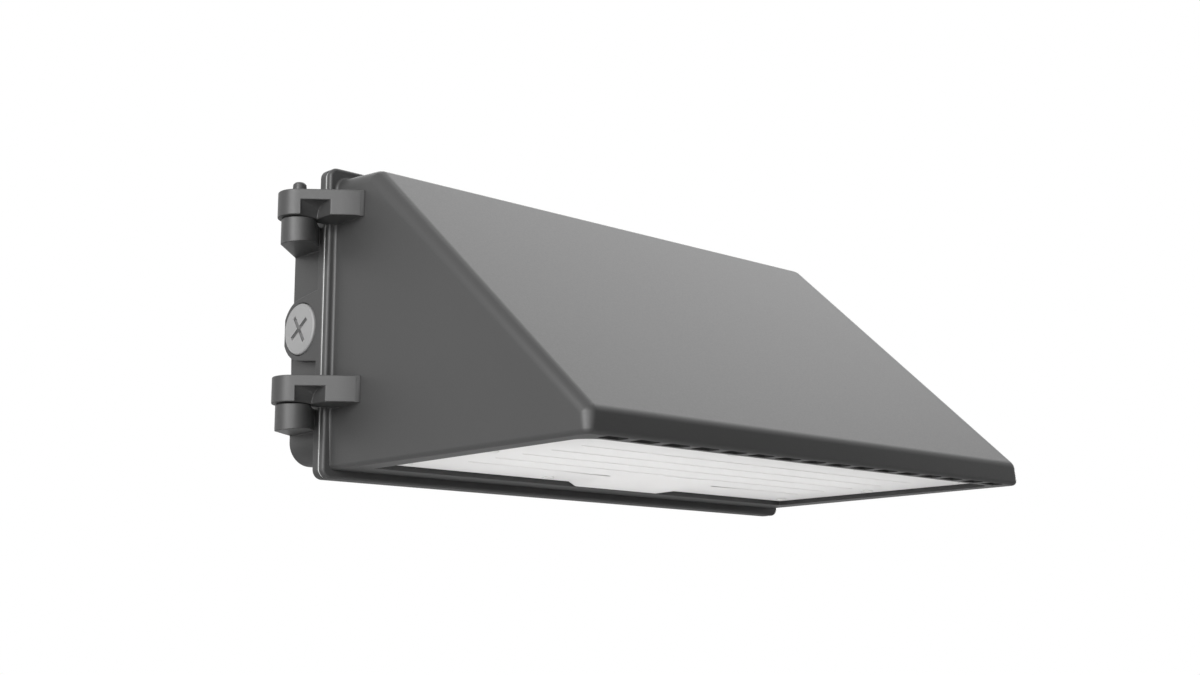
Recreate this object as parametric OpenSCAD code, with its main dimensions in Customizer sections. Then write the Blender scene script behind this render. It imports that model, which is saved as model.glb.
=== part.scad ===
// Wall pack light: a shallow back box and a wedge-shaped door that carries the lamp and swings on two pins
// The origin is the centre of the box's rear face, +Y goes into the wall and +Z is up

/* [Face] */
// Width of the door's flange and of the box's rim
face_w = 345; // [335:1:365]
// Height of the flange and of the rim
face_h = 160; // [158:1:175]
// Corner radius of the flange and of the rim
face_r = 5; // [4:0.5:10]
// Thickness of the door's flange
flange_t = 3.5; // [3:0.1:5]
// Rounding of the flange's front edge
flange_round = 1.7; // [0.5:0.1:2]
// Thickness of the gasket between the door and the box
gasket_t = 1; // [0.8:0.1:1.6]

/* [Castings] */
// Wall thickness of both castings
wall = 3; // [2.5:0.1:3.5]
// Thickness of the back box's rear plate
back_t = 3.5; // [3:0.1:5]
// Thickness of the shelf between the lamp and the wiring
shelf_t = 4; // [3.5:0.1:5]

/* [Back box] */
// Depth of the box from the wall to the front of its rim
box_d = 34; // [33:0.5:45]
// Thickness of the rim
rim_t = 4.5; // [3.5:0.1:6]
// Step from the rim in to the box's wall at each side
box_step_x = 5; // [4:0.1:7]
// Step from the rim in to the box's wall at the top and at the bottom
box_step_z = 9.9; // [8:0.1:11]
// Corner radius of the box's wall
box_r = 12; // [8:0.5:15]

/* [Door housing] */
// Step from the flange's edge in to the wedge's side
body_step = 4.2; // [3:0.1:7]
// Height of the wedge's underside above the flange's lower edge
low_step = 4.4; // [3:0.1:6]
// Distance of the ridge in front of the flange
ridge_out = 30; // [25:0.5:35]
// Step from the flange's top down to the ridge
ridge_drop = 6.6; // [5:0.1:10]
// Rise of the top face from the ridge back to the flange
top_rise = 1.2; // [0.5:0.1:2]
// Distance of the nose in front of the flange
nose_out = 182.4; // [178:0.2:190]
// Height of the nose where the slope meets it
nose_h = 11.4; // [10.5:0.1:14]
// Taper of each side between the flange and the nose
nose_in = 4.5; // [3:0.1:6]
// Rounding of the ridge
ridge_r = 8; // [6:0.5:10]
// Rounding of the edges at the top of the sides
side_r = 6.6; // [5:0.1:8]
// Rounding of the nose's upper edge
nose_r = 6; // [4:0.1:7]
// Rounding of the nose's upright corners
nose_corner_r = 4.5; // [3:0.1:6]
// Rounding of the lower edges
foot_r = 2.4; // [1:0.1:3]

/* [Fin slots] */
// Number of slots in the row under the nose
slots = 16; // [8:1:16]
// Width of the rib between two slots
slot_rib = 5.6; // [4:0.1:8]
// Length of a slot's mouth from front to back
slot_l = 6.6; // [5:0.1:7]
// Corner radius of a slot's mouth
slot_r = 1.5; // [0.5:0.1:2]
// Thickness of the strip in front of the slots
slot_skin = 1.8; // [1.6:0.1:2.5]
// Distance that a slot reaches back above the strip behind its mouth
slot_reach = 8; // [4:0.5:8]

/* [Lens] */
// Width of the rim beside the opening for the lens, at the nose
lens_side = 10.3; // [9:0.1:14]
// Length of the rim in front of the opening, with the slots in it
lens_front = 11.3; // [11:0.1:14]
// Distance of the opening's rear edge in front of the flange
lens_back = 17.7; // [16:0.1:18]
// Corner radius of the opening at the front
lens_r = 9; // [6:0.5:12]
// Depth of the lens's face inside the opening
lens_in = 2.5; // [2.5:0.1:3]
// Thickness of the lens
lens_t = 3; // [2:0.1:3.5]
// Gap all round the lens
lens_gap = 0.8; // [0.4:0.1:1.2]
// Thickness of the lens gasket
lens_gasket_t = 1; // [0.6:0.1:1.5]
// Number of flutes moulded into the lens
flutes = 5; // [1:1:5]
// Spacing of the flutes
flute_pitch = 20.3; // [15:0.1:20.5]
// Distance of a flute's ends from the opening's sides
flute_end = 28.7; // [20:0.1:50]
// Width of the bump at the rear edge of the lens
bump_w = 87; // [70:1:100]
// Length of the bump from the rear edge
bump_l = 60; // [50:1:70]
// Distance of the outer lens screws from the opening's sides
screw_in = 11.5; // [10:0.1:12.5]
// Distance of the inner lens screws from the middle, as a share of that of the outer ones
screw_mid_share = 0.34; // [0.3:0.01:0.45]
// Distance of the lens screws from the opening's front and rear edges
screw_edge = 10.7; // [10:0.1:11.5]

/* [Lamp chamber] */
// Distance of the chamber's side walls inside the opening's sides
chamber_side = 18.5; // [18.5:0.5:22]
// Distance of the chamber's front wall behind the opening's front edge
chamber_front = 16.1; // [16:0.1:18]
// Distance of the chamber's rear wall in front of the flange
chamber_back = 35; // [35:0.5:38]
// Height of the chamber's roof above the wedge's underside
chamber_h = 22; // [21:0.2:23]
// Distance of a lamp board from the chamber's side wall
board_side = 10.5; // [9:0.5:15]
// Distance of a board's ends from the chamber's rear wall and from the grommet's space
board_end = 10; // [9:0.5:13]
// Thickness of a lamp board
board_t = 1.6; // [1:0.1:2]
// Gap between the two boards
board_gap = 9; // [8:0.5:12]
// Thickness of the heat pad above a board
pad_t = 0.5; // [0.3:0.1:1]
// Edge of a lamp chip
chip = 3.5; // [2.5:0.1:4]
// Height of a lamp chip
chip_t = 0.7; // [0.5:0.1:1]
// Rows of chips on a board
chip_rows = 5; // [3:1:6]
// Chips in a row
chip_columns = 8; // [5:1:10]

/* [Driver] */
// Length of the driver's can
driver_w = 150; // [140:1:155]
// Gap between the can's upper front edge and the sloped wall
driver_front = 18.3; // [16:0.1:24]
// Height of the can
driver_h = 32; // [26:1:34]
// Distance of the can's rear face in front of the flange
driver_back = 48; // [46:1:50]
// Length of the ear at each end of the can
ear_l = 14; // [13:0.5:16]
// Width of an ear
ear_w = 24; // [18:1:30]
// Thickness of an ear
ear_t = 1.5; // [1:0.1:2]
// Height of the bosses under the ears
ear_boss_h = 4; // [3:0.1:5]
// Length of the terminal block from front to back
block_l = 34; // [32:1:40]
// Width of the terminal block
block_w = 20; // [18:0.5:24]
// Height of the terminal block
block_h = 14; // [12:0.5:18]
// Distance from the can's end to the terminal block
block_out = 34; // [32:0.5:36]
// Spacing of the terminal block's poles
pole_pitch = 9; // [8:0.1:10]
// Radius of the driver's supply leads
supply_lead_r = 1.3; // [1:0.05:1.5]
// Radius of the leads to the lamp boards
lamp_lead_r = 0.9; // [0.7:0.05:1]

/* [Hinges] */
// Distance of the hinge axis outside the flange's edge
hinge_out = 15.5; // [15:0.1:18]
// Radius of the door's knuckles
door_knuckle_r = 10.6; // [9.8:0.1:11]
// Radius of the box's knuckles
box_knuckle_r = 8.6; // [7:0.1:9]
// Radius of the hinge pins
pin_r = 3.75; // [3:0.05:4]
// Radial gap between a pin and the door's knuckle
pin_gap = 0.1; // [0.05:0.01:0.1]
// Distance of the upper arm's underside below the flange's top
upper_arm_drop = 30.4; // [28:0.1:34]
// Distance of the lower arm's underside above the flange's lower edge
lower_arm_rise = 35.4; // [33:0.1:38]
// Height of an arm
arm_h = 13.2; // [12:0.1:15]
// Angle of an arm's outer face
arm_lean = 38.7; // [36:0.1:40]
// Straight length of an arm's outer face
arm_straight = 21.6; // [20:0.1:23]
// Radius of the bend where an arm runs out on the housing
arm_bend_r = 57; // [50:1:65]
// Height of the box's knuckles
knuckle_h = 13.4; // [12:0.1:15]
// Rise of a knuckle's underside towards the box
knuckle_rise = 3.5; // [1:0.1:6]
// Gap between an arm and the knuckle under it
knuckle_gap = 0.4; // [0.3:0.1:0.8]
// Height of the upper pin's tip above its arm
pin_tip = 6.9; // [5:0.1:10]
// Depth of the lower pin's end below the top of its arm
pin_short = 2; // [1:0.1:3]

/* [Door screws] */
// Distance of the screws outside the flange's edge
lug_out = 9; // [8.6:0.1:12]
// Distance of the screws from the flange's top and from its lower edge
lug_end = 30; // [24:1:40]
// Radius of the lugs
lug_r = 8; // [7.5:0.1:8.5]
// Length of the door's lugs
door_lug_l = 13; // [12.5:0.1:16]
// Length of the box's lugs
box_lug_l = 14; // [12:0.1:18]
// Radius of a door screw's shank
door_screw_r = 2.5; // [2:0.1:2.6]
// Travel of a captive door screw
screw_travel = 8; // [6:0.5:8.2]

/* [Conduit entries] */
// Distance of the entries in front of the wall
entry_y = 14.9; // [14:0.1:16]
// Height of the entries below the middle
entry_drop = 1.7; // [0:0.1:4]
// Radius of the raised boss round an entry
boss_r = 16.4; // [15.5:0.1:17]
// Flare of the boss towards the rim
boss_flare = 2.1; // [1:0.1:4]
// Length of the boss through the side wall
boss_l = 12.5; // [10:0.1:16]
// Radius of the entry's bore
entry_r = 10.7; // [10:0.1:11]
// Radius of the closure plug's head
plug_r = 13.3; // [12.8:0.1:13.6]
// Depth of the recess for the plug's head
plug_recess = 3.2; // [2.5:0.1:4]
// Height of the plug's head above the boss
plug_proud = 1; // [0.5:0.1:2]
// Gap between the plug and its bore or recess
plug_gap = 0.35; // [0.2:0.05:0.5]
// Thickness of the seal under the plug's head
seal_t = 0.8; // [0.5:0.1:1]
// Length of an arm pair of the plug's cross slot
cross_l = 16; // [12:0.5:18]
// Width of the cross slot
cross_w = 2; // [1.5:0.1:3]
// Depth of the cross slot
cross_d = 1.3; // [1:0.1:2]
// Turn of the cross slot
cross_turn = 56; // [0:1:90]

/* [Wall mounting] */
// Distance of the four wall holes from the box's sides
mount_side = 27.5; // [20:0.5:45]
// Distance of the wall holes from the box's top and bottom
mount_end = 22.1; // [20:0.1:32]
// Radius of the wall holes
mount_r = 2.6; // [2:0.1:3.5]
// Spacing of the two holes for a junction box
junction_w = 88.9; // [80:0.1:120]
// Radius of the junction box holes
junction_r = 2.4; // [2:0.1:3]
// Radius of the supply wires' entry in the rear plate
wire_r = 11.1; // [9:0.1:12]
// Height of the wire entry below the middle
wire_drop = 30; // [26:1:34]

/* [Hidden] */
$fn = 64;
casting = "#4b4e4d";
plated = "#c4c8cb";
rubber = "#a2a4a3";
// Overrun of every cut
over = 1;
// Gap between pieces that touch on the real object and are round or threaded
touch_gap = 0.05;
// Round edges inside the housing, where its outer edges leave less than this
inner_r = 1;
// Distance by which a flank stays inside the circle of its round end, which it would otherwise only touch
flank_in = 0.05;
// Planes from the wall out to the front of the flange, and the wedge's underside
y_rim = -box_d;
y_gasket = y_rim - gasket_t;
y_face = y_gasket - flange_t;
z_low = low_step - face_h / 2;
// Width of the wedge where it meets the flange, and height of its ridge above its underside
body_w = face_w - 2 * body_step;
ridge_h = face_h - low_step - ridge_drop;
// Size of the box inside the rim
box_w = face_w - 2 * box_step_x;
box_h = face_h - 2 * box_step_z;
// Fall of the sloped front for each millimetre, rise of the top, and their lengths
fall = (ridge_h - nose_h) / (nose_out - ridge_out);
fall_run = sqrt(1 + fall * fall);
rise = top_rise / ridge_out;
rise_run = sqrt(1 + rise * rise);
// Heights inside the wedge: top of the lens stack, of the ledge above it and of the shelf
seat_h = lens_in + lens_t + lens_gasket_t;
ledge_h = seat_h + wall;
shelf_h = chamber_h + shelf_t;
// Opening for the lens, row of slots and screws of the lens
lens_w = 2 * (half_at(nose_out) - lens_side);
lens_l = nose_out - lens_back - lens_front;
slot_pitch = lens_w / slots;
slot_w = slot_pitch - slot_rib;
screw_side = lens_w / 2 - screw_in;
screw_mid = screw_mid_share * screw_side;
flute_l = lens_w - 2 * flute_end;
// Lamp chamber, the grommet's space in front of its boards, and the driver's can
grommet_front = 8;
chamber_w = lens_w - 2 * chamber_side;
chamber_l = lens_back + lens_l - chamber_front - chamber_back;
board_w = (chamber_w - board_gap) / 2 - board_side;
board_l = chamber_l - grommet_front - 2 * board_end;
driver_l = inner_slope_d(shelf_h + driver_h, wall) - driver_front - driver_back;
// Arms, lugs and wall holes
upper_arm_z = face_h / 2 - upper_arm_drop;
lower_arm_z = lower_arm_rise - face_h / 2;
lug_z = face_h / 2 - lug_end;
mount_w = box_w - 2 * mount_side;
mount_h = box_h - 2 * mount_end;
// Hinge axis
hinge = [-face_w / 2 - hinge_out, y_rim - gasket_t / 2];
// Notch under an arm: its start and its length along the outer face, its height and its distance from the axis
notch_from = 2;
notch_l = 14.6;
notch_h = 7.7;
notch_back = 7;
// Share of the lean that an arm's outer face keeps at the end of its bend
bend_end_share = 0.7;
bend_steps = 6;
// Front edge of a knuckle's web, behind the rim's rear face
web_back = 5;
// Blind end of the pins' holes above a knuckle's underside
pin_floor = 4.5;
pin_taper = 1;
pin_top_l = 1.2;
// Screws: radii and heights of heads, radii and depths of holes
lens_screw_r = 1.9;
lens_head_r = 3.3;
lens_head_t = 1.6;
lens_screw_grip = 4;
lens_boss_r = 4.5;
lens_boss_h = 4.5;
lens_hole_gap = 0.4;
board_screw_r = 1.45;
board_head_r = 2.8;
board_head_t = 1.6;
board_screw_grip = 2.5;
board_screw_in = 6;
ear_screw_r = 1.9;
ear_head_r = 3.6;
ear_head_t = 2.2;
ear_screw_grip = 6;
ear_boss_r = 4.6;
hole_spare = 0.8;
door_head_r = 5;
door_head_t = 3.6;
door_screw_gap = 0.4;
door_web_t = 3;
door_screw_grip = 7.4;
ring_r = 4.7;
ring_t = 1;
ring_back = 0.4;
ring_room = 0.5;
driver_slot_w = 1.2;
driver_slot_d = 1;
// Ground screw, its boss and its place on the rear plate
ground_x = 100;
ground_z = 38;
ground_boss_r = 5.5;
ground_boss_h = 5;
ground_screw_r = 2;
ground_head_r = 4.6;
ground_head_t = 2.6;
ground_grip = 5.5;
// Raised pads round the holes of the rear plate
pad_ring = 4;
pad_h = 1.6;
// Gasket of the door: its inset from the edge, corner radius and width
gasket_in = 0.3;
gasket_r = 12;
gasket_w = 6.6;
// Bump of the lens: corners of its foot and of its face as shares of its width and length
bump_foot_shares = [[-0.29, 0], [-0.35, 0.7], [-0.06, 1], [0.23, 1], [0.58, 0.7], [0.66, 0]];
bump_face_shares = [[-0.23, 0], [-0.2, 0.67], [0.15, 0.67], [0.49, 0]];
bump_face_t = 0.3;
bump_drop = 2.3;
flute_w = 1;
flute_t = 0.4;
flute_front = 34.3;
window_gap = 1;
// Grommet in the shelf and the route of the leads
grommet_r = 5;
grommet_bore = 3.2;
grommet_flange = 1.6;
grommet_flange_t = 1.2;
lamp_lead_x = 1.7;
lamp_lead_out = 22;
lamp_lead_h = 3.5;
supply_lead_h = 19;
supply_lead_run = 17;
supply_lead_in = 5;
pole_r = 1.7;
pole_h = 6.5;
pole_screw_r = 2.2;
pole_screw_d = 3;
block_screw_r = 1.5;
block_head_r = 2.9;
block_head_t = 1.8;
block_screw_grip = 2.6;
can_groove = 0.8;
can_groove_h = 5;

// Half of the wedge's width at depth d in front of the flange
function half_at(d) = body_w / 2 - nose_in * d / nose_out;
// Height of the slope and of the top face at depth d
function slope_at(d) = ridge_h - fall * (d - ridge_out);
function top_at(d) = ridge_h + rise * (ridge_out - d);
// Place in the side view that lies t inside both the top face and the slope
function under_ridge(t) =
    let (e = -t * (fall_run - rise_run) / (fall - rise))
    [ridge_out + e, ridge_h - rise * e - t * rise_run];
// Place in the side view that lies t inside both the slope and the nose
function in_nose(t) = [nose_out - t, slope_at(nose_out - t) - t * fall_run];
// Depth at which the slope's inner face, t inside the slope, comes down to height h
function inner_slope_d(h, t) = ridge_out + (ridge_h - t * fall_run - h) / fall;
// Side view point from a depth in front of the flange and a height above the underside
function side(d, h) = [y_face - d, z_low + h];
// Where a line from p touches the circle of radius r round c, on side s
function touch(p, c, r, s) =
    let (v = c - p, l = norm(v), a = atan2(v[1], v[0]) + s * asin(r / l))
    p + sqrt(l * l - r * r) * [cos(a), sin(a)];

// Rectangle with round corners
module rounded(w, h, r) {
    square([w - 2 * r, h], center = true);
    square([w, h - 2 * r], center = true);
    for (x = [-1, 1], z = [-1, 1]) translate([x * (w / 2 - r), z * (h / 2 - r)]) circle(r);
}

// Front view outline, from y back over t
module from_front(y, t) {
    translate([0, y + t, 0]) rotate([90, 0, 0]) linear_extrude(t) children();
}

// Side view outline, w wide about x
module from_side(x, w) {
    translate([x - w / 2, 0, 0]) rotate([90, 0, 90]) linear_extrude(w) children();
}

// Round bar along Y, from y back over t
module bar_y(x, y, z, r, t) {
    translate([x, y + t, z]) rotate([90, 0, 0]) cylinder(h = t, r = r);
}

// Round bar along X, from x outwards over t
module bar_x(x, y, z, r, t) {
    translate([x, y, z]) rotate([0, 90, 0]) cylinder(h = t, r = r);
}

// Moves a piece to depth d in front of the flange and height h above the underside
module at(x, d, h) {
    translate([x, y_face - d, z_low + h]) children();
}

// Right side as drawn, left side mirrored
module on_side(s) {
    mirror([s < 0 ? 1 : 0, 0, 0]) children();
}

// Straight lead between two points
module lead_run(a, b, r) {
    v = b - a;
    translate(a) rotate([0, acos(v[2] / norm(v)), atan2(v[1], v[0])]) cylinder(h = norm(v), r = r, $fn = 24);
}

// Lead along a route, with round bends
module lead(route, r) {
    for (i = [1 : len(route) - 1]) lead_run(route[i - 1], route[i], r);
    for (i = [1 : len(route) - 2]) translate(route[i]) sphere(r, $fn = 24);
}

// Slotted screw that points down, with the underside of its head at height 0
module screw(head_r, head_t, r, l) {
    difference() {
        union() {
            translate([0, 0, head_t / 2]) cylinder(h = head_t / 2, r1 = head_r, r2 = head_r - head_t / 2);
            cylinder(h = head_t / 2, r = head_r);
            translate([0, 0, -l]) cylinder(h = l + head_t / 4, r = r);
        }
        translate([-head_r, -driver_slot_w / 2, head_t - min(driver_slot_d, head_t / 2)])
            cube([2 * head_r, driver_slot_w, driver_slot_d + over]);
    }
}

// Back box

// Side view of the boss round a conduit entry, flared towards the rim
module boss_outline() {
    c = [-entry_y, -entry_drop];
    up = [y_rim + rim_t, c[1] + boss_r + boss_flare];
    down = [y_rim + rim_t, c[1] - boss_r - boss_flare];
    intersection() {
        union() {
            translate(c) circle(boss_r);
            polygon([up, touch(up, c, boss_r - flank_in, 1), c, touch(down, c, boss_r - flank_in, -1), down]);
        }
        translate([y_rim, -face_h / 2]) square([box_d, face_h]);
    }
}

// Plan of a knuckle with the web that carries it
module knuckle_plan() {
    rear = [-box_w / 2, 0];
    front = [-box_w / 2, y_rim + rim_t + web_back];
    inside = [wall / 2, 0];
    r = box_knuckle_r - flank_in;
    translate(hinge) circle(box_knuckle_r);
    polygon([touch(rear, hinge, r, -1), rear, rear + inside, front + inside, front, touch(front, hinge, r, 1), hinge]);
}

// Knuckle whose top is at z, with an underside that rises towards the box
module box_knuckle(z) {
    x_out = hinge[0] - box_knuckle_r - over;
    x_in = -box_w / 2 + wall;
    front = hinge[1] - box_knuckle_r - over;
    low = z - knuckle_h;
    intersection() {
        translate([0, 0, low]) linear_extrude(knuckle_h) knuckle_plan();
        from_front(front, over - front)
            polygon([[x_out, low], [-box_w / 2, low + knuckle_rise], [x_in, low + knuckle_rise],
                [x_in, z + over], [x_out, z + over]]);
    }
}

// Front view of a screw lug that runs in to a wall at x
module lug_outline(z, x) {
    lug_x = face_w / 2 + lug_out;
    r = lug_r - flank_in;
    translate([lug_x, z]) circle(lug_r);
    translate([x, z - r]) square([lug_x - x, 2 * r]);
}

module back_box() color(casting) difference() {
    union() {
        difference() {
            union() {
                from_front(y_rim, rim_t) rounded(face_w, face_h, face_r);
                from_front(y_rim, box_d) rounded(box_w, box_h, box_r);
            }
            from_front(y_rim - over, box_d - back_t + over)
                rounded(box_w - 2 * wall, box_h - 2 * wall, box_r - wall);
        }
        for (s = [-1, 1]) from_side(s * (face_w - boss_l) / 2, boss_l) boss_outline();
        for (z = [lower_arm_z, upper_arm_z]) box_knuckle(z - knuckle_gap);
        for (z = [-lug_z, lug_z]) from_front(y_rim, box_lug_l) lug_outline(z, box_w / 2 - wall / 2);
        bar_y(ground_x, -back_t - ground_boss_h, ground_z, ground_boss_r, ground_boss_h + back_t / 2);
        for (x = [-1, 1], z = [-1, 1])
            bar_y(x * mount_w / 2, -back_t - pad_h, z * mount_h / 2, mount_r + pad_ring, pad_h + back_t / 2);
        for (x = [-1, 1])
            bar_y(x * junction_w / 2, -back_t - pad_h, 0, junction_r + pad_ring, pad_h + back_t / 2);
        bar_y(0, -back_t - pad_h, -wire_drop, wire_r + pad_ring, pad_h + back_t / 2);
    }
    for (s = [-1, 1]) on_side(s) {
        bar_x(face_w / 2 - boss_l - over, -entry_y, -entry_drop, entry_r, boss_l + 2 * over);
        bar_x(face_w / 2 - plug_recess, -entry_y, -entry_drop, plug_r + plug_gap, plug_recess + over);
    }
    for (z = [lower_arm_z, upper_arm_z])
        translate([hinge[0], hinge[1], z - knuckle_gap - knuckle_h + pin_floor]) cylinder(h = knuckle_h, r = pin_r);
    for (z = [-lug_z, lug_z])
        bar_y(face_w / 2 + lug_out, y_rim - over, z, door_screw_r + door_screw_gap,
            door_screw_grip + hole_spare + over);
    bar_y(ground_x, -back_t - ground_boss_h - over, ground_z, ground_screw_r + touch_gap,
        ground_grip + hole_spare + over);
    for (x = [-1, 1], z = [-1, 1])
        bar_y(x * mount_w / 2, -back_t - pad_h - over, z * mount_h / 2, mount_r, back_t + pad_h + 2 * over);
    for (x = [-1, 1])
        bar_y(x * junction_w / 2, -back_t - pad_h - over, 0, junction_r, back_t + pad_h + 2 * over);
    bar_y(0, -back_t - pad_h - over, -wire_drop, wire_r, back_t + pad_h + 2 * over);
}

// Pin from the floor of its hole up to z, with a tapered tip that ends in a blunt cone
module hinge_pin(arm_z, z, tip_l) {
    low = arm_z - knuckle_gap - knuckle_h + pin_floor;
    translate([hinge[0], hinge[1], 0]) {
        translate([0, 0, low]) cylinder(h = z - tip_l - low, r = pin_r);
        translate([0, 0, z - tip_l]) cylinder(h = tip_l - pin_top_l, r1 = pin_r, r2 = pin_r - pin_taper);
        translate([0, 0, z - pin_top_l]) cylinder(h = pin_top_l, r1 = pin_r - pin_taper, r2 = pin_r / 2);
    }
}

module hinge_pin_upper() color(casting) hinge_pin(upper_arm_z, upper_arm_z + arm_h + pin_tip, pin_tip);

module hinge_pin_lower() color(casting)
    hinge_pin(lower_arm_z, lower_arm_z + arm_h - pin_short, 2 * pin_top_l);

module ground_screw() color("#3f7a4a")
    translate([ground_x, -back_t - ground_boss_h, ground_z]) rotate([90, 0, 0])
    screw(ground_head_r, ground_head_t, ground_screw_r, ground_grip);

// Conduit plugs

// Plug of the right side, with a chamfered head and a cross slot
module conduit_plug() {
    face_x = face_w / 2 + plug_proud;
    head_t = plug_proud + plug_recess - seal_t;
    chamfer = plug_proud * 0.6;
    translate([0, -entry_y, -entry_drop]) difference() {
        union() {
            translate([face_x - head_t, 0, 0]) rotate([0, 90, 0]) cylinder(h = head_t - chamfer, r = plug_r);
            translate([face_x - chamfer, 0, 0]) rotate([0, 90, 0])
                cylinder(h = chamfer, r1 = plug_r, r2 = plug_r - chamfer);
            translate([face_w / 2 - boss_l, 0, 0]) rotate([0, 90, 0])
                cylinder(h = boss_l - plug_recess + seal_t, r = entry_r - plug_gap);
        }
        for (a = [0, 90]) rotate([cross_turn + a, 0, 0])
            translate([face_x - cross_d, -cross_l / 2, -cross_w / 2]) cube([cross_d + over, cross_l, cross_w]);
    }
}

// Seal of the right side, between the plug's head and the floor of its recess
module plug_seal() {
    translate([face_w / 2 - plug_recess, -entry_y, -entry_drop]) rotate([0, 90, 0]) difference() {
        cylinder(h = seal_t, r = plug_r);
        translate([0, 0, -over]) cylinder(h = seal_t + 2 * over, r = entry_r);
    }
}

module conduit_plug_left() color("#a9acab") on_side(-1) conduit_plug();

module conduit_plug_right() color("#a9acab") on_side(1) conduit_plug();

module plug_seal_left() color("#2a2b2b") on_side(-1) plug_seal();

module plug_seal_right() color("#2a2b2b") on_side(1) plug_seal();

// Door housing

// Disc with a rounded rim, radius c and edge rounding f, as one lower corner of the wedge
module foot_disc(c, f) {
    rotate_extrude($fn = 32) intersection() {
        union() {
            translate([c - f, 0]) circle(f, $fn = 16);
            translate([0, -f]) square([c - f, 2 * f]);
        }
        translate([0, -f]) square([c, 2 * f]);
    }
}

// Wedge with round edges, t inside the outer faces, its rear end back behind the flange's front
module wedge(t, back) {
    rr = max(ridge_r - t, inner_r);
    nr = max(nose_r - t, inner_r);
    sr = max(side_r - t, inner_r);
    fr = max(foot_r - t, inner_r);
    cr = max(nose_corner_r - t, fr);
    ridge = under_ridge(t + rr);
    nose = in_nose(t + nr);
    hull() for (s = [-1, 1]) {
        at(s * (half_at(ridge_out) - t - rr), ridge[0], ridge[1]) sphere(rr, $fn = 32);
        at(s * (half_at(nose_out) - t - nr), nose[0], nose[1]) sphere(nr, $fn = 32);
        at(s * (half_at(nose_out) - t - cr), nose_out - t - cr, t + fr) foot_disc(cr, fr);
        at(s * (half_at(0) - t - sr), 0, top_at(0) - t - sr)
            rotate([-90, 0, 0]) cylinder(h = back, r = sr, $fn = 32);
        at(s * (half_at(0) - t - fr), 0, t + fr)
            rotate([-90, 0, 0]) cylinder(h = back, r = fr, $fn = 32);
    }
}

// Flange with a rounded front edge
module flange() {
    edge = min(flange_round, flange_t / 2);
    hull() for (x = [-1, 1], z = [-1, 1])
        translate([x * (face_w / 2 - face_r), y_gasket, z * (face_h / 2 - face_r)]) rotate([90, 0, 0])
        rotate_extrude($fn = 32) {
            square([face_r, flange_t - edge]);
            square([face_r - edge, flange_t]);
            translate([face_r - edge, flange_t - edge]) circle(edge, $fn = 24);
        }
}

// Wiring bay: open through the flange, over a low floor, the ledge and the shelf, with a gutter at each side
module wiring_bay() {
    back = -flange_t - over;
    low_front = lens_back - wall;
    ledge_front = chamber_back - wall;
    gutter_in = chamber_w / 2 + wall;
    gutter_w = half_at(0) - gutter_in;
    shelf_front = inner_slope_d(shelf_h, wall);
    intersection() {
        wedge(wall, flange_t + over);
        union() {
            from_side(0, body_w)
                polygon([side(back, wall), side(low_front, wall), side(low_front, ledge_h),
                    side(ledge_front, ledge_h), side(ledge_front, shelf_h), side(shelf_front, shelf_h),
                    side(shelf_front, ridge_h), side(ridge_out, ridge_h + top_rise), side(back, ridge_h + top_rise)]);
            for (s = [-1, 1]) on_side(s)
                at(gutter_in, chamber_back + chamber_l, ledge_h)
                cube([gutter_w, chamber_l + 2 * wall, shelf_h - ledge_h + over]);
        }
    }
}

// Opening for the lens, smaller all round by cut
module lens_outline(cut) {
    half = lens_w / 2 - cut;
    r = lens_r - cut;
    front = y_face - lens_back - lens_l + cut;
    back = y_face - lens_back - cut;
    translate([-half, front + r]) square([2 * half, back - front - r]);
    translate([-half + r, front]) square([2 * (half - r), back - front]);
    for (s = [-1, 1]) translate([s * (half - r), front + r]) circle(r);
}

// Plan of the lamp chamber, wider all round by gap
module chamber_plan(gap) {
    translate([0, y_face - chamber_back - chamber_l / 2])
        rounded(chamber_w + 2 * gap, chamber_l + 2 * gap, wall + gap);
}

// One fin slot: a mouth with round corners that opens into a hollow behind the nose and under the slope
module fin_slot(x) {
    front = nose_out - slot_skin;
    back = front - slot_l;
    deep = back - slot_reach;
    at(x, front - slot_l / 2, -over) linear_extrude(ledge_h + 2 * over) rounded(slot_w, slot_l, slot_r);
    from_side(x, slot_w)
        polygon([side(front, ledge_h - wall), side(front, slope_at(front) - wall * fall_run),
            side(deep, slope_at(deep) - wall * fall_run), side(deep, ledge_h), side(back, ledge_h),
            side(back, ledge_h - wall)]);
}

// Places of the lens screws, as x and depth
lens_screw_places = [
    for (x = [-screw_side, screw_side], d = [screw_edge, lens_l / 2, lens_l - screw_edge]) [x, lens_back + d],
    for (x = [-screw_mid, screw_mid], d = [screw_edge, lens_l - screw_edge]) [x, lens_back + d]];

// Places of a board's screws on the right side, as x and depth
board_mid = [board_gap / 2 + board_w / 2, chamber_back + (chamber_l - grommet_front) / 2];
board_screw_places = [for (x = [-1, 1], d = [-1, 1])
    board_mid + [x * (board_w / 2 - board_screw_in), d * (board_l / 2 - board_screw_in)]];

// Places of the driver's screws and of the terminal block, as x and depth
driver_mid = driver_back + driver_l / 2;
ear_x = driver_w / 2 + ear_l - ear_boss_r;
block_x = driver_w / 2 + block_out + block_w / 2;

// Grommet's place in front of the boards
grommet_d = chamber_back + chamber_l - grommet_r - grommet_flange - touch_gap;

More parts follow.
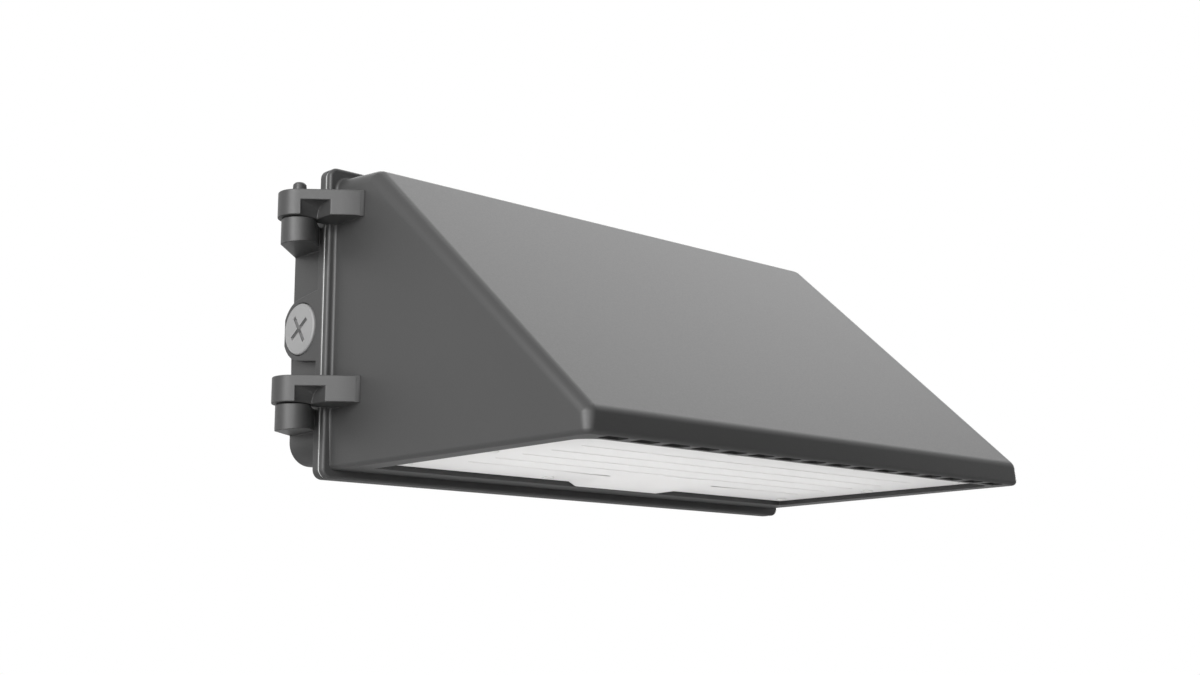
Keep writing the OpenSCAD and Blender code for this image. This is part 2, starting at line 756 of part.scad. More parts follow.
// Plan of a hinge arm: the knuckle, a straight outer face and a bend that runs out on the housing's side
module arm_plan() {
    along = [cos(arm_lean), -sin(arm_lean)];
    out = [-sin(arm_lean), -cos(arm_lean)];
    start = hinge + (door_knuckle_r - flank_in) * out;
    centre = start + arm_straight * along - arm_bend_r * out;
    bend = [for (i = [0 : bend_steps])
        let (a = arm_lean * (1 - (1 - bend_end_share) * i / bend_steps))
        centre + arm_bend_r * [-sin(a), -cos(a)]];
    last = bend[bend_steps];
    inner_x = -body_w / 2 + nose_in + wall / 4;
    translate(hinge) circle(door_knuckle_r);
    polygon(concat([start], bend, [[inner_x, last[1]], [inner_x, y_gasket], [hinge[0], y_gasket], hinge]));
}

// Notch under an arm, open at the outer face, with a ceiling that curves down at the back
module arm_notch() {
    start = hinge[0] - door_knuckle_r * sin(arm_lean) + notch_from * cos(arm_lean);
    w = notch_l * cos(arm_lean);
    y = hinge[1] - notch_back - notch_h;
    bar_x(start, y, 0, notch_h, w);
    translate([start, y - door_knuckle_r - notch_l, -over]) cube([w, door_knuckle_r + notch_l, notch_h + over]);
    translate([start, y - notch_h, -over]) cube([w, 2 * notch_h, over]);
}

module hinge_arm(z) {
    translate([0, 0, z]) difference() {
        linear_extrude(arm_h) arm_plan();
        translate([hinge[0], hinge[1], -over]) cylinder(h = arm_h + 2 * over, r = pin_r + pin_gap);
        arm_notch();
    }
}

module door_housing() color(casting) difference() {
    union() {
        difference() {
            union() {
                wedge(0, flange_t / 2);
                flange();
            }
            wiring_bay();
            at(0, 0, -over) translate([0, -y_face, 0]) linear_extrude(seat_h + over) lens_outline(0);
            at(0, 0, 0) translate([0, -y_face, 0]) linear_extrude(chamber_h) chamber_plan(0);
            for (i = [0 : slots - 1]) fin_slot((i - (slots - 1) / 2) * slot_pitch);
        }
        for (p = lens_screw_places) at(p[0], p[1], seat_h) cylinder(h = wall + lens_boss_h, r = lens_boss_r);
        for (s = [-1, 1]) at(s * ear_x, driver_mid, chamber_h) cylinder(h = shelf_t + ear_boss_h, r = ear_boss_r);
        for (z = [lower_arm_z, upper_arm_z]) hinge_arm(z);
        for (z = [-lug_z, lug_z])
            from_front(y_gasket - door_lug_l, door_lug_l) lug_outline(z, body_w / 2 - wall / 2);
    }
    for (p = lens_screw_places)
        at(p[0], p[1], seat_h - over) cylinder(h = over + lens_screw_grip + hole_spare, r = lens_screw_r + touch_gap);
    for (s = [-1, 1], p = board_screw_places)
        at(s * p[0], p[1], chamber_h - over) cylinder(h = over + board_screw_grip + hole_spare,
            r = board_screw_r + touch_gap);
    for (s = [-1, 1])
        at(s * ear_x, driver_mid, shelf_h + ear_boss_h - ear_screw_grip - hole_spare)
        cylinder(h = ear_screw_grip + hole_spare + over, r = ear_screw_r + touch_gap);
    for (s = [-1, 1])
        at(-block_x, driver_mid + s * pole_pitch / 2, shelf_h - block_screw_grip - hole_spare)
        cylinder(h = block_screw_grip + hole_spare + over, r = block_screw_r + touch_gap);
    at(0, grommet_d, chamber_h - over) cylinder(h = shelf_t + 2 * over, r = grommet_r);
    for (z = [-lug_z, lug_z]) {
        bar_y(face_w / 2 + lug_out, y_gasket - door_lug_l - over, z, door_screw_r + door_screw_gap,
            door_lug_l + 2 * over);
        bar_y(face_w / 2 + lug_out, y_gasket - door_lug_l + door_web_t, z, ring_r + ring_room,
            door_lug_l - door_web_t + over);
    }
}

module door_gasket() color(rubber) from_front(y_gasket, gasket_t) difference() {
    rounded(face_w - 2 * gasket_in, face_h - 2 * gasket_in, gasket_r);
    rounded(face_w - 2 * (gasket_in + gasket_w), face_h - 2 * (gasket_in + gasket_w), gasket_r - gasket_w);
}

// Lens and lamp

module lens() color("#dcdedd") difference() {
    union() {
        at(0, 0, lens_in) translate([0, -y_face, 0]) linear_extrude(lens_t) lens_outline(lens_gap);
        for (i = [0 : flutes - 1])
            at(-flute_l / 2, lens_back + lens_l - flute_front - i * flute_pitch + flute_w / 2, lens_in - flute_t)
            cube([flute_l, flute_w, flute_t + lens_t / 2]);
        hull() {
            at(0, lens_back + lens_gap, lens_in) linear_extrude(lens_t / 2)
                polygon([for (p = bump_foot_shares) [p[0] * bump_w, -p[1] * bump_l]]);
            at(0, lens_back + lens_gap, lens_in - bump_drop) linear_extrude(bump_face_t)
                polygon([for (p = bump_face_shares) [p[0] * bump_w, -p[1] * bump_l]]);
        }
    }
    for (p = lens_screw_places) {
        at(p[0], p[1], lens_in - over) cylinder(h = lens_t + 2 * over, r = lens_screw_r + lens_hole_gap);
        at(p[0], p[1], lens_in - bump_drop - over)
            cylinder(h = bump_drop + over, r = lens_head_r + lens_hole_gap);
    }
}

module lens_gasket() color("#3a3b3b") difference() {
    at(0, 0, lens_in + lens_t) translate([0, -y_face, 0]) linear_extrude(lens_gasket_t) difference() {
        lens_outline(lens_gap);
        chamber_plan(window_gap);
    }
    for (p = lens_screw_places)
        at(p[0], p[1], lens_in) cylinder(h = lens_t + lens_gasket_t + over, r = lens_screw_r + lens_hole_gap);
}

module lens_screws() color(plated) for (p = lens_screw_places)
    at(p[0], p[1], lens_in) mirror([0, 0, 1])
    screw(lens_head_r, lens_head_t, lens_screw_r, lens_t + lens_gasket_t + lens_screw_grip);

// Lamp board of the right side
module board() {
    difference() {
        at(board_mid[0], board_mid[1], chamber_h - pad_t - board_t) linear_extrude(board_t)
            square([board_w, board_l], center = true);
        for (p = board_screw_places)
            at(p[0], p[1], chamber_h - pad_t - board_t - over)
            cylinder(h = board_t + 2 * over, r = board_screw_r + lens_hole_gap);
    }
}

// Chips of the right side's board, in even rows
module chips() {
    step_x = (board_w - 2 * board_screw_in) / chip_columns;
    step_d = (board_l - 2 * board_screw_in) / chip_rows;
    for (i = [0 : chip_columns - 1], j = [0 : chip_rows - 1])
        at(board_mid[0] + (i - (chip_columns - 1) / 2) * step_x,
            board_mid[1] + (j - (chip_rows - 1) / 2) * step_d, chamber_h - pad_t - board_t - chip_t)
        translate([-chip / 2, -chip / 2, 0]) cube([chip, chip, chip_t]);
}

// Heat pad of the right side, inside the board's screws
module heat_pad() {
    at(board_mid[0], board_mid[1], chamber_h - pad_t) linear_extrude(pad_t) difference() {
        square([board_w, board_l], center = true);
        for (p = board_screw_places) translate([p[0] - board_mid[0], board_mid[1] - p[1]]) circle(board_head_r);
    }
}

module led_board_left() color("#e9e9e4") on_side(-1) board();

module led_board_right() color("#e9e9e4") on_side(1) board();

module leds_left() color("#f2d45c") on_side(-1) chips();

module leds_right() color("#f2d45c") on_side(1) chips();

module heat_pad_left() color("#8fb2c4") on_side(-1) heat_pad();

module heat_pad_right() color("#8fb2c4") on_side(1) heat_pad();

module board_screws() color(plated) for (s = [-1, 1], p = board_screw_places)
    at(s * p[0], p[1], chamber_h - pad_t - board_t) mirror([0, 0, 1])
    screw(board_head_r, board_head_t, board_screw_r, board_t + pad_t + board_screw_grip);

// Driver and wiring

// Metal can with a seam groove and an ear at each end, on the shelf
module led_driver() color("#b9bcbd") at(0, driver_mid, shelf_h) difference() {
    union() {
        translate([-driver_w / 2, -driver_l / 2, 0]) cube([driver_w, driver_l, driver_h]);
        translate([0, 0, ear_boss_h]) linear_extrude(ear_t) rounded(driver_w + 2 * ear_l, ear_w, ear_boss_r);
    }
    for (s = [-1, 1]) {
        translate([s * ear_x, 0, 0]) cylinder(h = driver_h, r = ear_screw_r + lens_hole_gap);
        translate([-driver_w / 2 - over, s * driver_l / 2 - can_groove, can_groove_h + ear_boss_h])
            cube([driver_w + 2 * over, 2 * can_groove, can_groove]);
    }
}

module driver_screws() color(plated) for (s = [-1, 1])
    at(s * ear_x, driver_mid, shelf_h + ear_boss_h + ear_t)
    screw(ear_head_r, ear_head_t, ear_screw_r, ear_t + ear_screw_grip);

// Three-pole block with a wire hole on each side and a screw well on top of every pole
module terminal_block() color("#d8d6cd") at(-block_x, driver_mid, shelf_h) difference() {
    translate([-block_w / 2, -block_l / 2, 0]) cube([block_w, block_l, block_h]);
    for (i = [-1 : 1]) {
        translate([-block_w / 2 - over, i * pole_pitch, pole_h]) rotate([0, 90, 0])
            cylinder(h = supply_lead_in + over, r = pole_r);
        translate([block_w / 2 - supply_lead_in, i * pole_pitch, pole_h]) rotate([0, 90, 0])
            cylinder(h = supply_lead_in + over, r = pole_r);
        for (s = [-1, 1]) translate([s * block_w / 4, i * pole_pitch, block_h - pole_screw_d])
            cylinder(h = pole_screw_d + over, r = pole_screw_r);
    }
    for (s = [-1, 1]) translate([0, s * pole_pitch / 2, -over])
        cylinder(h = block_h + 2 * over, r = block_screw_r + lens_hole_gap);
}

module terminal_screws() color(plated) for (s = [-1, 1])
    at(-block_x, driver_mid + s * pole_pitch / 2, shelf_h + block_h)
    screw(block_head_r, block_head_t, block_screw_r, block_h + block_screw_grip);

// Three leads from the driver's end over its ear, down and into the terminal block
module supply_leads() color("#33363a") for (i = [-1 : 1])
    at(0, driver_mid - i * pole_pitch, shelf_h)
    lead([[-driver_w / 2, 0, supply_lead_h],
        [-driver_w / 2 - supply_lead_run, 0, supply_lead_h],
        [-driver_w / 2 - supply_lead_run, 0, pole_h],
        [-driver_w / 2 - block_out - supply_lead_in, 0, pole_h]], supply_lead_r);

// Rubber ring with a groove for the shelf's edge
module wire_grommet() color("#26282a") at(0, grommet_d, chamber_h) rotate_extrude() {
    translate([grommet_bore, -grommet_flange_t])
        square([grommet_r - grommet_bore, shelf_t + 2 * grommet_flange_t]);
    for (h = [-grommet_flange_t, shelf_t])
        translate([grommet_bore, h]) square([grommet_r - grommet_bore + grommet_flange, grommet_flange_t]);
}

// Two leads from the driver's front through the grommet to the boards' undersides
module lamp_leads() color("#9c2f2a") for (s = [-1, 1]) {
    low = chamber_h - pad_t - board_t - lamp_lead_r - touch_gap;
    high = shelf_h + lamp_lead_h;
    lead([for (p = [[lamp_lead_x, driver_back + driver_l, high], [lamp_lead_x, grommet_d, high],
        [lamp_lead_x, grommet_d, low], [lamp_lead_out, board_mid[1] + board_l / 2 - board_screw_in, low]])
        [s * p[0], y_face - p[1], z_low + p[2]]], lamp_lead_r);
}

// Captive screws of the door

// Screw at height z with its head on the door's lug, and the ring that keeps it in the lug
module door_screw(z) {
    translate([face_w / 2 + lug_out, y_gasket - door_lug_l, z]) rotate([90, 0, 0])
        screw(door_head_r, door_head_t, door_screw_r, door_lug_l + gasket_t + door_screw_grip);
}

module screw_ring(z) {
    difference() {
        bar_y(face_w / 2 + lug_out, y_gasket - ring_back - ring_t, z, ring_r, ring_t);
        bar_y(face_w / 2 + lug_out, y_gasket - ring_back - ring_t - over, z, door_screw_r, ring_t + 2 * over);
    }
}

module door_screw_upper() color(plated) door_screw(lug_z);

module door_screw_lower() color(plated) door_screw(-lug_z);

module screw_ring_upper() color("#1f2021") screw_ring(lug_z);

module screw_ring_lower() color("#1f2021") screw_ring(-lug_z);

back_box();
hinge_pin_upper();
hinge_pin_lower();
ground_screw();
conduit_plug_left();
conduit_plug_right();
plug_seal_left();
plug_seal_right();
door_housing();
door_gasket();
lens();
lens_gasket();
lens_screws();
led_board_left();
led_board_right();
leds_left();
leds_right();
heat_pad_left();
heat_pad_right();
board_screws();
led_driver();
driver_screws();
terminal_block();
terminal_screws();
supply_leads();
wire_grommet();
lamp_leads();
door_screw_upper();
door_screw_lower();
screw_ring_upper();
screw_ring_lower();
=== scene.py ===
"""Wall pack light: a grey cast box on the wall and a wedge-shaped cast door with a frosted lens.

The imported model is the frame. Each section below finishes one piece or one group of like pieces.
"""
import bpy, bmesh
from math import radians
from mathutils import Matrix, Vector


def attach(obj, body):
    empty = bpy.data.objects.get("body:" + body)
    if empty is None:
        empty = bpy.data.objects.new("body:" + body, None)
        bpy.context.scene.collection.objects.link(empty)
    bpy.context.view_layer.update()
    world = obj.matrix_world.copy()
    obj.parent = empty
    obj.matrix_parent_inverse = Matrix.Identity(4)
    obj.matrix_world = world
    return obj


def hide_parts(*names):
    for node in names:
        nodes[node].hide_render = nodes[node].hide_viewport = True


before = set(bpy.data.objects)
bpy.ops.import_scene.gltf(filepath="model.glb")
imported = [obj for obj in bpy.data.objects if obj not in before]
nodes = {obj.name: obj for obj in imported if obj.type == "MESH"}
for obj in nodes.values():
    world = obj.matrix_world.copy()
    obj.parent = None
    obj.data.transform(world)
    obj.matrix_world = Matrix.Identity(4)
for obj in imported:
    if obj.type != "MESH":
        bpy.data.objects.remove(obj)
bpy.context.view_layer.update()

# Camera
# The photograph is taken from below and from the hinge side, with a slightly long lens.
camera_place = (-0.61744, -0.70612, -0.16636)
camera_turn, camera_tilt, camera_roll = radians(-43.539), radians(101.171), radians(-0.315)
camera_data = bpy.data.cameras.new("camera")
camera_data.lens = 48.235
camera_data.sensor_width = 36
camera = bpy.data.objects.new("camera", camera_data)
bpy.context.scene.collection.objects.link(camera)
camera.matrix_world = (Matrix.Translation(camera_place)
                       @ Matrix.Rotation(camera_turn, 4, "Z")
                       @ Matrix.Rotation(camera_tilt, 4, "X")
                       @ Matrix.Rotation(camera_roll, 4, "Z"))
bpy.context.scene.camera = camera
bpy.context.scene.view_settings.view_transform = "Standard"

# Studio
# A pale floor stands well under the light, and a surround shows white all round it. Soft boxes
# stand above and behind, at the left, by the camera, near the floor and under the lens, and a
# narrow one at the right. The paint reflects a dark card that the camera doesn't see.
matt = 0.9


def studio_sheet(name, half, place, grey):
    """A flat square sheet of matt paint that belongs to the studio and not to the light."""
    mesh = bpy.data.meshes.new(name)
    bm = bmesh.new()
    bmesh.ops.create_grid(bm, x_segments=1, y_segments=1, size=half, matrix=place)
    bm.to_mesh(mesh)
    bm.free()
    sheet = bpy.data.objects.new(name, mesh)
    bpy.context.scene.collection.objects.link(sheet)
    paint = bpy.data.materials.new(name)
    paint.use_nodes = True
    shader = paint.node_tree.nodes["Principled BSDF"]
    shader.inputs["Base Color"].default_value = (grey, grey, grey, 1)
    shader.inputs["Roughness"].default_value = matt
    mesh.materials.append(paint)
    return sheet


def softbox(name, place, aim, width, height, power, spread=180):
    """A rectangular soft light at place that faces aim.

    Width and height are in metres, power in watts and spread in degrees. A small spread keeps
    the light off what stands beside its aim.
    """
    data = bpy.data.lights.new(name, "AREA")
    data.shape = "RECTANGLE"
    data.size, data.size_y, data.energy, data.spread = width, height, power, radians(spread)
    box = bpy.data.objects.new(name, data)
    bpy.context.scene.collection.objects.link(box)
    facing = (Vector(place) - Vector(aim)).to_track_quat("Z", "Y").to_matrix().to_4x4()
    box.matrix_world = Matrix.Translation(place) @ facing


studio_sheet("floor", 1.6, Matrix.Translation((0, -0.1, -0.42)), 0.9)
softbox("light_behind", (0.85, 0.42, 1.15), (0, -0.1, 0), 2.0, 1.3, 11.7)
softbox("light_left", (-1.15, -0.42, 0.36), (-0.1, -0.1, 0), 0.7, 0.7, 13.6)
softbox("light_by_camera", (-0.95, -1.2, 0.25), (-0.17, -0.1, 0), 0.45, 0.45, 5.6)
softbox("light_low_left", (-1.0, -0.45, -0.36), (-0.15, -0.1, -0.05), 0.5, 0.12, 1.6)
softbox("light_below", (0, -0.128, -0.4), (0, -0.128, 0), 0.3, 0.15, 0.053, 25)
softbox("light_right", (1.25, 0.0, 0.03), (0.18, -0.09, 0.0), 0.2, 0.1, 0.06, 14)
upright = Matrix.Rotation(radians(90), 4, "X")
card = studio_sheet("dark_card", 0.8, Matrix.Translation((0.85, -1.35, 0.15)) @ upright, 0.02)
card.visible_camera = False

# The surround is white for the camera and for glossy and clear surfaces, and gives little light.
surround_light, surround_white = 0.02, 1
world = bpy.data.worlds.new("surround")
bpy.context.scene.world = world
world.use_nodes = True
tree = world.node_tree
tree.nodes.clear()
ray = tree.nodes.new("ShaderNodeLightPath")
shown = ray.outputs["Is Camera Ray"]
for also in ("Is Glossy Ray", "Is Transmission Ray"):
    either = tree.nodes.new("ShaderNodeMath")
    either.operation = "MAXIMUM"
    tree.links.new(shown, either.inputs[0])
    tree.links.new(ray.outputs[also], either.inputs[1])
    shown = either.outputs[0]
choice = tree.nodes.new("ShaderNodeMixShader")
tree.links.new(shown, choice.inputs["Fac"])
for socket, strength in ((1, surround_light), (2, surround_white)):
    glow = tree.nodes.new("ShaderNodeBackground")
    glow.inputs["Color"].default_value = (1, 1, 1, 1)
    glow.inputs["Strength"].default_value = strength
    tree.links.new(glow.outputs[0], choice.inputs[socket])
surround_out = tree.nodes.new("ShaderNodeOutputWorld")
tree.links.new(choice.outputs[0], surround_out.inputs["Surface"])

# Back box
# A shallow die-cast aluminium box, powder coated dark grey. It hangs on the wall and carries the
# knuckles, the lugs for the door screws and the two conduit entries. Its edges are slightly round.
merge_gap, plane_gap = 2e-6, 1e-5
flat_angle, edge_angle, shading_angle = radians(0.8), radians(32), radians(46)


def softened(node, name, width, plain=(), fillet=None):
    """A node's own mesh with its seams merged and its hard edges rounded to about width.

    Edges inside a plain box, each given by two corners, stay sharp. Edges in the plane
    y = fillet get three times the width, as the cast fillet between a wall and its flange.
    """
    mesh = nodes[node].data.copy()
    bm = bmesh.new()
    bm.from_mesh(mesh)
    bmesh.ops.remove_doubles(bm, verts=bm.verts, dist=merge_gap)
    bmesh.ops.dissolve_limit(bm, angle_limit=flat_angle, verts=bm.verts, edges=bm.edges,
                             delimit={"NORMAL"})
    weight = bm.edges.layers.float.new("bevel_weight_edge")
    for edge in bm.edges:
        if not edge.is_manifold or edge.calc_face_angle() < edge_angle:
            continue
        kept = any(all(low[i] < vert.co[i] < high[i] for vert in edge.verts for i in range(3))
                   for low, high in plain)
        at_fillet = fillet and all(abs(vert.co.y - fillet) < plane_gap for vert in edge.verts)
        if edge.calc_length() < width or kept:
            edge.smooth = False
        else:
            edge[weight] = 1 if at_fillet else 1 / 3
    for face in bm.faces:
        face.smooth = True
    bm.to_mesh(mesh)
    bm.free()
    mesh.materials.clear()
    piece = bpy.data.objects.new(name, mesh)
    bpy.context.scene.collection.objects.link(piece)
    # The bevel is as wide as the fillet, and the weight of every other edge takes a third of it.
    round_edge = piece.modifiers.new("rounded edges", "BEVEL")
    round_edge.limit_method = "WEIGHT"
    round_edge.width, round_edge.segments = 3 * width, 3
    round_edge.use_clamp_overlap = False
    rounded = piece.evaluated_get(bpy.context.evaluated_depsgraph_get())
    piece.data = bpy.data.meshes.new_from_object(rounded)
    piece.modifiers.clear()
    bm = bmesh.new()
    bm.from_mesh(piece.data)
    for edge in bm.edges:
        edge.smooth = edge.is_manifold and edge.calc_face_angle() < shading_angle
    bm.to_mesh(piece.data)
    bm.free()
    piece.data.name = name
    flat = piece.modifiers.new("flat faces stay flat", "WEIGHTED_NORMAL")
    flat.keep_sharp = True
    return piece


def srgb(red, green, blue):
    """A colour from its 0 to 255 screen values."""
    return tuple((c / 255 / 12.92 if c <= 10 else ((c / 255 + 0.055) / 1.055) ** 2.4)
                 for c in (red, green, blue))


cloud_scale, cloud_detail, cloud_edges = 14, 5, (0.3, 0.7)
speck_detail, gloss_spread, bump_strength = 3, 0.06, 0.5


def finish(name, colour, rough, grain, relief, uneven=0.06, metallic=0.0):
    """A finish whose colour, gloss and relief vary a little.

    The colour varies by the share uneven in soft clouds. Grain is the size of the specks and
    relief their height, both in metres.
    """
    material = bpy.data.materials.new(name)
    material.use_nodes = True
    tree = material.node_tree
    shader = tree.nodes["Principled BSDF"]
    shader.inputs["Metallic"].default_value = metallic
    place = tree.nodes.new("ShaderNodeTexCoord")
    cloud = tree.nodes.new("ShaderNodeTexNoise")
    cloud.inputs["Scale"].default_value = cloud_scale
    cloud.inputs["Detail"].default_value = cloud_detail
    tree.links.new(place.outputs["Object"], cloud.inputs["Vector"])
    tone = tree.nodes.new("ShaderNodeValToRGB")
    for element, position, share in zip(tone.color_ramp.elements, cloud_edges, (-uneven, uneven)):
        element.position = position
        element.color = (*(c * (1 + share) for c in colour), 1)
    tree.links.new(cloud.outputs["Fac"], tone.inputs["Fac"])
    tree.links.new(tone.outputs["Color"], shader.inputs["Base Color"])
    speck = tree.nodes.new("ShaderNodeTexNoise")
    speck.inputs["Scale"].default_value = 1 / grain
    speck.inputs["Detail"].default_value = speck_detail
    tree.links.new(place.outputs["Object"], speck.inputs["Vector"])
    gloss = tree.nodes.new("ShaderNodeMapRange")
    gloss.inputs["To Min"].default_value = rough - gloss_spread
    gloss.inputs["To Max"].default_value = rough + gloss_spread
    tree.links.new(speck.outputs["Fac"], gloss.inputs["Value"])
    tree.links.new(gloss.outputs["Result"], shader.inputs["Roughness"])
    bump = tree.nodes.new("ShaderNodeBump")
    bump.inputs["Strength"].default_value = bump_strength
    bump.inputs["Distance"].default_value = relief
    tree.links.new(speck.outputs["Fac"], bump.inputs["Height"])
    tree.links.new(bump.outputs["Normal"], shader.inputs["Normal"])
    return material


powder_coat = finish("powder_coat", srgb(52, 52, 52), rough=0.46, grain=0.0009, relief=0.00006,
                     uneven=0.035)
# The edges at the roots of the two screw lugs stay sharp.
root_near, root_far, root_h = (0.1670, -0.0300), (0.1680, -0.0195), 0.0168
lug_roots = [((*root_near, low), (*root_far, low + root_h)) for low in (0.0415, -0.0583)]
box_casting = softened("back_box", "back_box_casting", width=0.0005, plain=lug_roots)
box_casting.data.materials.append(powder_coat)
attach(box_casting, "box")
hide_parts("back_box")

# Hinge pins
# Two steel pins pressed into the box's knuckles and painted with it. The lower one ends inside its
# arm. The upper one stands out above its arm as a short stub with a blunt end.
pin_x, pin_y, arm_top = -0.188, -0.0345, 0.0628
stub_foot, stub_fuller, stub_shorter = 0.0001, 6500, 0.826
for node in ("hinge_pin_upper", "hinge_pin_lower"):
    pin = softened(node, node + "_turned", width=0.0004)
    # The stub is lower than the solid's, and thicker towards its end.
    for vert in pin.data.vertices:
        above = vert.co.z - arm_top
        if above > stub_foot:
            fuller = 1 + stub_fuller * above ** 2
            vert.co.x = pin_x + (vert.co.x - pin_x) * fuller
            vert.co.y = pin_y + (vert.co.y - pin_y) * fuller
            vert.co.z = arm_top + above * stub_shorter
    pin.data.materials.append(powder_coat)
    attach(pin, "box")
    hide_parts(node)


# Ground screw
# A steel screw with green paint, driven into a boss of the box's rear plate, for the earth wire.
def recoat(node, material):
    """The node keeps its own mesh and gets a new finish."""
    nodes[node].data.materials.clear()
    nodes[node].data.materials.append(material)


green = finish("green_paint", srgb(63, 122, 74), rough=0.4, grain=0.0006, relief=0.00003)
recoat("ground_screw", green)

# Conduit plugs
# Die-cast zinc discs with a chamfered edge and a cross slot for a screwdriver, screwed into the
# side entries.
zinc = finish("plug_zinc", srgb(137, 137, 137), rough=0.5, grain=0.0012, relief=0.00004,
              uneven=0.05)
plug_y, plug_z = -0.0149, -0.0017
slot_turn = Matrix.Rotation(radians(-56), 3, "X")
head_x, slot_reach, slot_side, slot_wider = 0.172, 0.0084, 0.00102, 1.3
slot_floor, slot_deeper = 0.1723, 0.1703 / 0.1722
for side, body in (("left", "left_plug"), ("right", "right_plug")):
    plug = softened("conduit_plug_" + side, "plug_" + side, width=0.0003)
    # The cross slot gets wider and deeper than the solid's.
    for vert in plug.data.vertices:
        on_axis = Vector((vert.co.x, plug_y, plug_z))
        across = slot_turn @ (vert.co - on_axis)
        if abs(vert.co.x) > head_x and across.length < slot_reach:
            for i in (1, 2):
                if abs(across[i]) < slot_side:
                    across[i] *= slot_wider
            vert.co = slot_turn.inverted() @ across + on_axis
            if abs(vert.co.x) < slot_floor:
                vert.co.x *= slot_deeper
    plug.data.materials.append(zinc)
    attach(plug, body)
    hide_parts("conduit_plug_" + side)

# Plug seals
# Moulded black rubber rings, squeezed between the plugs' heads and the floors of their recesses.
seal_rubber = finish("seal_rubber", srgb(42, 43, 43), rough=0.7, grain=0.0008, relief=0.00005)
for side in ("left", "right"):
    recoat("plug_seal_" + side, seal_rubber)

# Door housing
# One die-cast aluminium wedge with its flange, hinge arms, screw lugs and fin slots, powder coated
# as the box is. It swings on the two pins.
flange_front = -0.0385
# The edges of the fin slots, and those where the arms run out on the side wall, stay sharp.
slot_row = ((-0.157, -0.2196, -0.08), (0.157, -0.2035, 0))
arm_ends = ((-0.1712, -0.0640, -0.0460), (-0.1674, -0.0596, 0.0640))
door_casting = softened("door_housing", "door_casting", width=0.0005,
                        plain=[slot_row, arm_ends], fillet=flange_front)
# The ceiling of the notch under each arm curves down towards the knuckle. Along the outer face it
# is raised by what the curve takes off, so that its lip runs straight.
curve_r, curve_y = 0.0077, -0.0492
lip_x, lip_end, lip_low, lip_high = -0.1861, -0.0432, 0.0045, 0.0083
for arm_low in (0.0496, -0.0446):
    for vert in door_casting.data.vertices:
        at_lip = vert.co.x < lip_x and curve_y < vert.co.y < lip_end
        if at_lip and lip_low < vert.co.z - arm_low < lip_high:
            vert.co.z += curve_r - (curve_r ** 2 - (vert.co.y - curve_y) ** 2) ** 0.5
door_casting.data.materials.append(powder_coat)
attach(door_casting, "door")
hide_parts("door_housing")

# Door gasket
# A pale silicone ring, cut flat, in the joint between the door's flange and the box's rim. It
# stays on the flange when the door opens.
silicone = finish("silicone", srgb(190, 191, 190), rough=0.6, grain=0.001, relief=0.00004)
half_w, half_h, ring_w, ring_t, ring_front = 0.1722, 0.0797, 0.0066, 0.001, -0.035
corner, inner_corner, corner_steps, ring_round = 0.005, 0.0008, 12, 0.0002
bm = bmesh.new()
for inset, radius in ((0, corner), (ring_w, inner_corner)):
    size = Matrix.Diagonal((half_w - inset, half_h - inset, 1, 1))
    outline = bmesh.ops.create_grid(bm, x_segments=1, y_segments=1, size=1,
                                    matrix=Matrix.Translation((0, ring_front, 0)) @ upright @ size)
    bmesh.ops.bevel(bm, geom=outline["verts"], affect="VERTICES", offset=radius,
                    segments=corner_steps, profile=0.5, material=-1)
bmesh.ops.delete(bm, geom=bm.faces[:], context="FACES_ONLY")
flat_ring = bmesh.ops.bridge_loops(bm, edges=bm.edges[:])
rear = bmesh.ops.extrude_face_region(bm, geom=flat_ring["faces"])["geom"]
bmesh.ops.translate(bm, vec=(0, ring_t, 0),
                    verts=[part for part in rear if isinstance(part, bmesh.types.BMVert)])
bmesh.ops.recalc_face_normals(bm, faces=bm.faces)
cut_edges = [edge for edge in bm.edges if edge.calc_face_angle() > radians(60)]
bmesh.ops.bevel(bm, geom=cut_edges, affect="EDGES", offset=ring_round, segments=2, profile=0.5,
                material=-1)
for face in bm.faces:
    face.smooth = True
ring_mesh = bpy.data.meshes.new("door_gasket_ring")
bm.to_mesh(ring_mesh)
bm.free()
ring_mesh.materials.append(silicone)
ring = bpy.data.objects.new("door_gasket_ring", ring_mesh)
bpy.context.scene.collection.objects.link(ring)
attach(ring, "door")
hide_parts("door_gasket")

# Lens
# A frosted polycarbonate plate with five moulded flutes and a bump at its rear edge, screwed into
# the opening in the door's underside.
frosted = finish("frosted_lens", srgb(235, 234, 233), rough=0.45, grain=0.0012, relief=0.00003,
                 uneven=0.01)
milky = frosted.node_tree.nodes["Principled BSDF"]
milky.inputs["Subsurface Weight"].default_value = 0.7
milky.inputs["Subsurface Radius"].default_value = (1, 1, 1)
milky.inputs["Subsurface Scale"].default_value = 0.004
lens = softened("lens", "lens_plate", width=0.0003)
# The bump parts the rear flute, whose two inner ends run out to nothing.
flute_y, flute_near, flute_crest = -0.0951, 0.0009, -0.0735
ends_x, ends_low = 0.06, -0.0742
for vert in lens.data.vertices:
    at_flute = abs(vert.co.y - flute_y) < flute_near and vert.co.z > ends_low
    if abs(vert.co.x) < ends_x and at_flute:
        vert.co.y = flute_y
        vert.co.z = min(vert.co.z, flute_crest)
lens.data.materials.append(frosted)
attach(lens, "door")
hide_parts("lens")

# Lens gasket
# A dark foam frame, cut from sheet and clamped behind the lens's edge by its screws.
foam = finish("gasket_foam", srgb(58, 59, 59), rough=0.85, grain=0.0009, relief=0.0002)
recoat("lens_gasket", foam)

